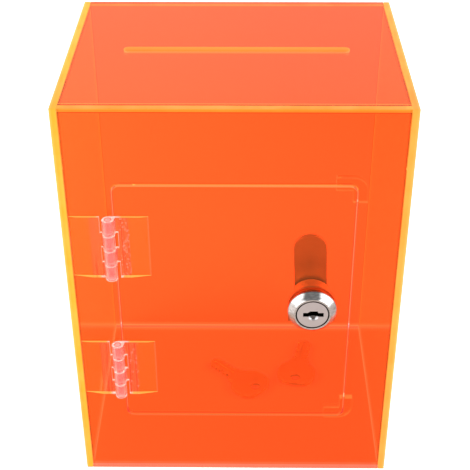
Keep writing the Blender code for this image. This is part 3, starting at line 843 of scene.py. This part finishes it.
def satin():
    """The plug's metal, with painted shade in the keyway, round the rim and in two dots beside the shutter.
    """
    finish = Finish("satin_plug")
    radius = from_axis(finish)
    inside = finish.y - (LOCK_AT.y - FACE_OUT)
    in_keyway = radius < KEYWAY_REACH
    in_pocket = (finish.z < LOCK_AT.z - POCKET_BELOW) * (inside < POCKET_FLOOR)
    # Painted shade deep in the keyway (but not in its pocket), in the gap round the rim and in two dots
    dark = ((inside > SHADE_DEPTH) * in_keyway * (1 - in_pocket)).most(radius > PLUG_RADIUS - SHADE_RING)
    for side in (-1, 1):
        dark = dark.most(from_axis(finish, KEYWAY_RIGHT + side * DOT_ASIDE, DOT_BELOW) < DOT_RADIUS)
    # A paler painted shade in the keyway's right lobe
    lobe = finish.x.ramp(LOCK_AT.x + LOBE_FADE[0], LOCK_AT.x + LOBE_FADE[1]) * in_keyway
    shade_colour = finish.mix(lobe, (0.018, 0.012, 0.012), (0.13, 0.11, 0.11))
    cloud = finish.noise(finish.point, 500, detail=3)
    colour = finish.mix(cloud, (0.88, 0.88, 0.92), (0.95, 0.95, 0.99))
    shader = finish.principled(
        Base_Color=finish.mix(dark, colour, shade_colour),
        Metallic=1.0,
        Roughness=cloud * 0.10 + 0.30,
        Normal=finish.bump((radius * LATHE_RINGS).sine(), 0.000012),
    )
    return finish.done(shader)


SATIN = satin()
print("the rings from the lathe are", round(2 * math.pi / LATHE_RINGS * 1000, 2), "mm apart")


# %% Plating
def plated(name, dark, light, roughness):
    """Dull plating in soft clouds, with short scratches."""
    finish = Finish(name)
    cloud = finish.noise(finish.point, 120, detail=4)
    scratched = finish.noise(finish.stretched(finish.point, (60, 60, 900)), 1.0, detail=3)
    shader = finish.principled(
        Base_Color=finish.mix(cloud, dark, light),
        Metallic=1.0,
        Roughness=scratched * 0.15 + roughness,
        Normal=finish.bump(scratched, 0.00001),
    )
    return finish.done(shader)


ZINC = plated("zinc", (0.44, 0.45, 0.40), (0.54, 0.55, 0.49), 0.28)
NICKEL = plated("nickel", (0.71, 0.58, 0.22), (0.78, 0.65, 0.28), 0.42)
DARK_STEEL = plated("shutter_steel", (0.16, 0.155, 0.155), (0.24, 0.23, 0.23), 0.30)
clad(ZINC, "lock_cam", "cam_washer", "lock_clip")
clad(NICKEL, "key_1", "key_2")
print("the cam, its washer, the clip and the keys are plated")

# %% [markdown]
# The bezel and the barrel
#
# The lock's body is one turned piece: a cone-shaped bezel in front of the door, a flat ring round
# the plug, and a barrel with two milled flats behind. Its profile is a closed loop, so the lathe
# runs round from the ring's edge and back to it, and then the flats and the clip's grooves are cut.

# %% Bezel and barrel
FIT = 0.0003
FACE_RING = 0.0090
BEZEL_RIM = 0.0014
BEZEL_CROWN = 0.00003
BARREL_RADIUS = 0.0095
BARREL_END = 0.0002
BODY_BORE = 0.0065
POCKET = 0.0018

cone_top = (FACE_RING, BEZEL_OUT - FIT)
cone_foot = (BEZEL_RADIUS - FIT / 2, BEZEL_RIM + 1.5 * FIT)
profile = [(PLUG_BORE, BEZEL_OUT), (FACE_RING - FIT, BEZEL_OUT), cone_top]
for share in (0.25, 0.5, 0.75):
    bulge = BEZEL_CROWN * 4 * share * (1 - share)
    radius = cone_top[0] + (cone_foot[0] - cone_top[0]) * share + bulge
    profile.append((radius, cone_top[1] + (cone_foot[1] - cone_top[1]) * share + bulge))
profile += [
    cone_foot,
    (BEZEL_RADIUS, BEZEL_RIM + 0.8 * FIT),
    (BEZEL_RADIUS, FIT),
    (BARREL_RADIUS, FIT),
    (BARREL_RADIUS, FIT - BARREL_BEHIND + BARREL_END),
    (BARREL_RADIUS - FIT, -BARREL_BEHIND),
    (BODY_BORE, -BARREL_BEHIND),
    (BODY_BORE, POCKET),
    (PLUG_BORE, POCKET),
    (PLUG_BORE, BEZEL_OUT),
]
body = turned(LOCK_AT, OUT, profile, closed=True)
print("the profile has", len(profile), "points")

# %% Flats and grooves
BARREL_FLATS = 0.0158
CLIP_INNER = 0.0144
CLIP_SLOT = 0.0018


def mill(side, across, front, back, top):
    """Cuts away all of the body that lies further out than half of a width, on one side."""
    reach = 2 * BEZEL_RADIUS
    wall = LOCK_AT.x + side * across / 2
    left, right = sorted((wall, wall + side * reach))
    carve(body, block((left, front, LOCK_AT.z - reach), (right, back, LOCK_AT.z + top)))


behind_sheet = LOCK_AT.y + SHEET
for side in (-1, 1):
    mill(side, BARREL_FLATS, LOCK_AT.y - FIT, LOCK_AT.y + 2 * BARREL_BEHIND, 2 * BEZEL_RADIUS)
    mill(side, CLIP_INNER, behind_sheet, behind_sheet + CLIP_SLOT, BARREL_RADIUS / 2)
seat(body, "bezel_and_barrel", "door", "chrome", CHROME, "lock_housing")

# %% [markdown]
# The plug
#
# The plug turns inside the barrel. Its face is turned flat, and its square tail carries the cam.
# Three cuts make the keyway: the flat slot, a raised part with slanted ends that keeps the key the
# right way up, and a half-round pocket below it, where a small shutter shows.

# %% Plug
PLUG_EDGE = 0.0002
PLUG_HEAD = 0.0022
TAIL_ACROSS = 0.0072
TAIL_END = 0.0152
CAM_LEAN = math.radians(2.5)
profile = [
    (PLUG_RADIUS - PLUG_EDGE, FACE_OUT),
    (PLUG_RADIUS, FACE_OUT - PLUG_EDGE),
    (PLUG_RADIUS, FACE_OUT - PLUG_HEAD),
    (BODY_BORE - FIT, FACE_OUT - PLUG_HEAD),
    (BODY_BORE - FIT, -BARREL_BEHIND),
]
plug = turned(LOCK_AT, OUT, profile)
half = TAIL_ACROSS / 2
tail = block((-half, BARREL_BEHIND - FIT, -half), (half, TAIL_END, half))
tail.rotation_euler = (0, -CAM_LEAN, 0)
tail.location = LOCK_AT
carve(plug, settle(tail), "UNION")
print("the plug reaches", round((TAIL_END + FACE_OUT) * 1000, 1), "mm from its face to its tail's end")

# %% Keyway
KEYWAY = (0.0096, 0.0022)
KEYWAY_DEPTH = 0.0095
RAISED_LEFT = 0.0037
RAISED_RIGHT = 0.0024
RAISED_HIGH = 0.0020
SLANTED_LEFT = 0.0021
SLANTED_RIGHT = 0.0004
POCKET_RADIUS = 0.0025
POCKET_DEEP = 0.0011
POCKET_CENTRE_BELOW = 0.0008
POCKET_NARROWS = 0.55
keyway_at = LOCK_AT + Vector((KEYWAY_RIGHT, -FACE_OUT, 0))
half = Vector((KEYWAY[0] / 2, 0, KEYWAY[1] / 2))
front, deep = Vector((0, -FIT, 0)), Vector((0, KEYWAY_DEPTH, 0))
carve(plug, block(keyway_at - half + front, keyway_at + half + deep))
raised = block(
    keyway_at + Vector((-RAISED_LEFT, -FIT, 0)),
    keyway_at + Vector((RAISED_RIGHT, KEYWAY_DEPTH, RAISED_HIGH)),
)
edit(raised)
high_up = keyway_at.z + RAISED_HIGH / 2
pick(raised, lambda v: v.co.x < keyway_at.x and v.co.z > high_up)
bpy.ops.transform.translate(value=(SLANTED_LEFT, 0, 0))
pick(raised, lambda v: v.co.x > keyway_at.x and v.co.z > high_up)
bpy.ops.transform.translate(value=(-SLANTED_RIGHT, 0, 0))
carve(plug, settle(raised))
bowl_at = keyway_at + Vector((0, 0, -POCKET_CENTRE_BELOW))
profile = [(POCKET_RADIUS, FIT), (POCKET_RADIUS, 0), (POCKET_RADIUS * POCKET_NARROWS, -POCKET_DEEP)]
bowl = turned(bowl_at, OUT, profile, steps=48)
edit(bowl)
bpy.ops.mesh.bisect(plane_co=bowl_at, plane_no=(0, 0, 1), clear_outer=True, use_fill=True)
carve(plug, settle(bowl))
seat(plug, "turned_plug", "plug", "satin_plug", SATIN, "lock_plug")

# %% Keyway shutter
SHUTTER_HALF = 0.00075
SHUTTER_DEPTHS = (0.00035, 0.0009)
SHUTTER_BELOW = (0.0031, 0.0007)
shutter = block(
    keyway_at + Vector((-SHUTTER_HALF, SHUTTER_DEPTHS[0], -SHUTTER_BELOW[0])),
    keyway_at + Vector((SHUTTER_HALF, SHUTTER_DEPTHS[1], -SHUTTER_BELOW[1])),
)
soften(shutter, FIT, 3)
seat(shutter, "keyway_shutter", "plug", "zinc_steel", DARK_STEEL)

# %% [markdown]
# The cam's screw
#
# Behind the door a cross-head screw and a washer hold the cam on the tail. They show when the door
# is open. The head is turned as a dome, and two tapered cuts make its cross.

# %% Cam screw
low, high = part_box("cam_screw")
HEAD_RADIUS = (high.x - low.x) / 2
HEAD = 0.0026
SHANK_RADIUS = 0.0020
CROSS = (0.0023, 0.0005)
CROSS_DEPTH = 0.0013
CROSS_TAPER_FROM = 0.0010
CROSS_TAPER = 0.6
head_at = Vector((LOCK_AT.x, high.y - HEAD, LOCK_AT.z))
shank = head_at.y - low.y
profile = [(SHANK_RADIUS, -shank), (SHANK_RADIUS, 0), (HEAD_RADIUS, 0)]
for degrees in (90, 75, 60, 45, 30, 15):
    angle = math.radians(degrees)
    profile.append((HEAD_RADIUS * math.sin(angle), HEAD / 2 * (1 + math.cos(angle))))
screw = turned(head_at, -OUT, profile, steps=48)
for across, down in (CROSS, CROSS[::-1]):
    drive = block(
        head_at + Vector((-across, HEAD - CROSS_DEPTH, -down)),
        head_at + Vector((across, HEAD + FIT, down)),
    )
    edit(drive)
    cross_floor = head_at.y + HEAD - CROSS_TAPER_FROM
    pick(drive, lambda v: v.co.y < cross_floor)
    taper_at = (head_at.x, cross_floor, head_at.z)
    bpy.ops.transform.resize(value=(CROSS_TAPER, 1, CROSS_TAPER), center_override=taper_at)
    carve(screw, settle(drive))
seat(screw, "cross_head_screw", "plug", "zinc_steel", ZINC, "cam_screw")

# %% [markdown]
# Clear moulding
#
# The hinges are clear plastic. In a thin leaf one sees the orange sheet behind, and in the thick
# knuckles the plastic looks milky and pink, because it bends light in from the white room. So the
# material is glass with a little pale, soft plastic mixed in: some on the knuckles, and most on the
# leaf's ends and the walls of its notches, which gather light as the sheet's edges do. Beside the
# knuckles of the door's leaf, small glowing rings, painted highlights, stand for bubbles in the cement.

# %% Where the moulding looks milky
HINGE_AT = Vector(joints["door_hinge"]["pos_m"])
low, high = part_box("upper_hinge_frame_leaf")
LEAF_BACK = high.y
LEAF_REACH = HINGE_AT.x - low.x
KNUCKLE_RADIUS = high.x - HINGE_AT.x
HINGE_FEET = (low.z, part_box("lower_hinge_frame_leaf")[0].z)
ROUNDING = 0.00018
KNUCKLE_FADE = (0.0026, 0.0034)
NOTCH_FADE = (0.0030, 0.0034)
NOTCH_END_FADE = (0.0050, 0.0056)
LEAF_BACK_FADE = (0.0014, 0.0008)
LEVEL_TURN = (0.6, 0.8)
WALL_TURN = (0.8, 0.95)
KNUCKLE_MILK = 0.08
KNUCKLE_END_MILK = 0.5
TOP_END_MILK = 0.85
FOOT_END_MILK = 0.8
NOTCH_MILK = 0.6


def milky(finish, beside, knuckle):
    """How much of the moulding is pale, soft plastic and not glass."""
    right, _, up = finish.outwards()
    level = abs(up).ramp(*LEVEL_TURN)
    at_back = finish.y.ramp(LEAF_BACK - LEAF_BACK_FADE[0], LEAF_BACK - LEAF_BACK_FADE[1])
    top_end = up.ramp(*LEVEL_TURN) * at_back
    at_foot = (abs(finish.z - HINGE_FEET[0]) < ROUNDING).most(abs(finish.z - HINGE_FEET[1]) < ROUNDING)
    notch = beside.ramp(*NOTCH_FADE) * (1 - beside.ramp(*NOTCH_END_FADE))
    notch_wall = abs(right).ramp(*WALL_TURN) * notch
    milk = (knuckle * KNUCKLE_MILK).most(knuckle * level * KNUCKLE_END_MILK)
    milk = milk.most(top_end * TOP_END_MILK).most(level * at_foot * FOOT_END_MILK)
    return milk.most(notch_wall * NOTCH_MILK)


print("a leaf reaches", round(LEAF_REACH * 1000, 1), "mm sideways from the pin's middle")

# %% Where the moulding is cemented
CEMENT_FADE = (0.0080, 0.0095)
BUBBLE_CELLS = 600
BUBBLE_RING = (0.20, 0.34)
BUBBLE_FADE = (0.0045, 0.0050)
BUBBLE_END_FADE = (0.0085, 0.0095)
OUTER_LINE_FADE = (0.0008, 0.0003)
OUTER_LINE_SHARE = 0.15
LEAF_GLOW = (0.02, 0.012, 0.0)
CEMENT_GLOW = (0.03, 0.010, 0.012)
BUBBLE_AND_EDGE_HIGHLIGHT = (0.34, 0.13, 0.12)


def cement_light(finish, aside, beside, flow):
    """The faint glow of the cement under a leaf, with painted highlights on its bubbles and along the
    leaf's edge.
    """
    cell = finish.node("TexVoronoi", inputs={"Vector": finish.point, "Scale": BUBBLE_CELLS}, out="Distance")
    ring = (cell > BUBBLE_RING[0]) * (cell < BUBBLE_RING[1]) * (flow > 0.50)
    bubble = ring * aside.ramp(*BUBBLE_FADE) * (1 - aside.ramp(*BUBBLE_END_FADE))
    outer_line = aside.ramp(LEAF_REACH - OUTER_LINE_FADE[0], LEAF_REACH - OUTER_LINE_FADE[1])
    light = finish.mix(1 - beside.ramp(*CEMENT_FADE), LEAF_GLOW, CEMENT_GLOW)
    # Painted highlights: rings on the bubbles and a fainter line along the leaf's outer edge
    return finish.mix(bubble.most(outer_line * OUTER_LINE_SHARE), light, BUBBLE_AND_EDGE_HIGHLIGHT)


# %% Clear moulding
MILK_FADE = (0.0040, 0.0060)
DRAWN_FADE = (0.56, 0.62)


def moulding():
    """Clear plastic: thick glass in the knuckles, a film that hardly bends light beside them, and milk."""
    finish = Finish("clear_moulding")
    aside = finish.x - HINGE_AT.x
    beside = abs(aside)
    knuckle = 1 - beside.ramp(*KNUCKLE_FADE)
    near = 1 - beside.ramp(*MILK_FADE)
    flow = finish.noise(finish.stretched(finish.point, (300, 300, 120)), 1.0, detail=3)
    drawn = finish.noise(finish.stretched(finish.point, (1400, 1, 14)), 1.0, detail=1)
    lines = drawn.ramp(*DRAWN_FADE) * (1 - beside.ramp(*CEMENT_FADE))
    plastic = finish.mix(flow, (1.0, 0.99, 0.97), (1.0, 0.97, 0.95))
    round_part = finish.principled(
        Base_Color=(1.0, 0.62, 0.60), Roughness=0.04, IOR=1.45, Transmission_Weight=1.0
    )
    cemented = finish.principled(
        Base_Color=finish.mix(lines, plastic, (0.42, 0.60, 0.42)),
        Roughness=0.02,
        IOR=1.12,
        Transmission_Weight=1.0,
        Emission_Color=cement_light(finish, aside, beside, flow),
        Emission_Strength=1.0,
    )
    milk = finish.principled(
        Base_Color=finish.mix(near, (0.35, 0.08, 0.01), (0.80, 0.48, 0.45)),
        Roughness=0.35,
        Emission_Color=finish.mix(near, (0.90, 0.38, 0.07), (0.0, 0.0, 0.0)),
        Emission_Strength=1.0,
    )
    glass = finish.blend(knuckle, cemented, round_part)
    both = finish.blend(milky(finish, beside, knuckle), glass, milk)
    return finish.done_clear(both, (1.0, 0.95, 0.93))


MOULDING = moulding()
print("the moulding has", len(MOULDING.node_tree.nodes), "nodes")

# %% [markdown]
# The hinges
#
# Each hinge is two leaves on a pin. A leaf starts as a round bar for the knuckles, joined to a slab
# whose outer half tapers. Then square notches are cut where the other leaf's knuckles go, and the
# pin's bore is drilled. The slab's edges and the bar's ends are rounded as a mould leaves them.

# %% Leaves and pins
LEAF_THICKNESS = 0.0022
LEAF_TAPER = 0.0089
LEAF_EDGE = 0.0004
LEAF_CLEAR = 0.0013
KNUCKLES = 4
KNUCKLE_GAP = 0.0003
PIN_RADIUS = 0.0015
PIN_BORE = 0.0017
PAST_KNUCKLE = 1.4
LEAF_SHARP = 9
UP = Vector((0, 0, 1))


def rounded_bar(foot, radius, tall, edge, steps):
    """A bar that stands up from a point, with its ends' edges taken off."""
    narrow = radius - edge
    return turned(foot, UP, [(narrow, 0), (radius, edge), (radius, tall - edge), (narrow, tall)], steps)


def slab(side, base, tall):
    """The flat part of a leaf. Its front slopes back to a thin outer edge."""
    end = HINGE_AT.x + side * LEAF_REACH
    front = LEAF_BACK - LEAF_THICKNESS
    piece = block((min(base.x, end), front, base.z), (max(base.x, end), LEAF_BACK, base.z + tall))
    edit(piece)
    shoulder = end - side * LEAF_TAPER
    bpy.ops.mesh.bisect(plane_co=(shoulder, 0, 0), plane_no=(1, 0, 0))
    pick(piece, lambda v: abs(v.co.x - end) < WELD and v.co.y < front + WELD)
    bpy.ops.transform.translate(value=(0, LEAF_THICKNESS - LEAF_EDGE, 0))
    soften(settle(piece), ROUNDING)
    return piece


def leaf(side, first, base, tall):
    """One leaf, towards -x or +x. `first` is 0 for the leaf that has the lowest knuckle."""
    flat_part = slab(side, base, tall)
    bar = rounded_bar(base, KNUCKLE_RADIUS, tall, ROUNDING, 64)
    carve(bar, flat_part, "UNION")
    pitch = tall / KNUCKLES
    past = KNUCKLE_RADIUS * PAST_KNUCKLE
    for knuckle in range(1 - first, KNUCKLES, 2):
        start = knuckle * pitch - (KNUCKLE_GAP / 2 if knuckle else KNUCKLE_GAP * 2)
        stop = (knuckle + 1) * pitch + (KNUCKLE_GAP / 2 if knuckle < KNUCKLES - 1 else KNUCKLE_GAP * 2)
        sides = sorted((-side * past, side * (KNUCKLE_RADIUS + LEAF_CLEAR)))
        carve(bar, block(base + Vector((sides[0], -past, start)), base + Vector((sides[1], past, stop))))
    carve(bar, turned(base, UP, [(PIN_BORE, -KNUCKLE_GAP), (PIN_BORE, tall + KNUCKLE_GAP)], 48))
    return bar


for hinge in ("upper_hinge", "lower_hinge"):
    low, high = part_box(hinge + "_frame_leaf")
    tall = high.z - low.z
    foot = Vector((HINGE_AT.x, HINGE_AT.y, low.z))
    frame_leaf = leaf(-1, 0, foot, tall)
    left_name, left_stands_for = hinge + "_left_leaf", hinge + "_frame_leaf"
    seat(frame_leaf, left_name, "case", "clear_moulding", MOULDING, left_stands_for, sharp=LEAF_SHARP)
    door_leaf = leaf(1, 1, foot, tall)
    right_name, right_stands_for = hinge + "_right_leaf", hinge + "_door_leaf"
    seat(door_leaf, right_name, "door", "clear_moulding", MOULDING, right_stands_for, sharp=LEAF_SHARP)
    pin = rounded_bar(foot, PIN_RADIUS, tall, FIT, 48)
    seat(pin, hinge + "_round_pin", "case", "clear_moulding", MOULDING, hinge + "_pin")
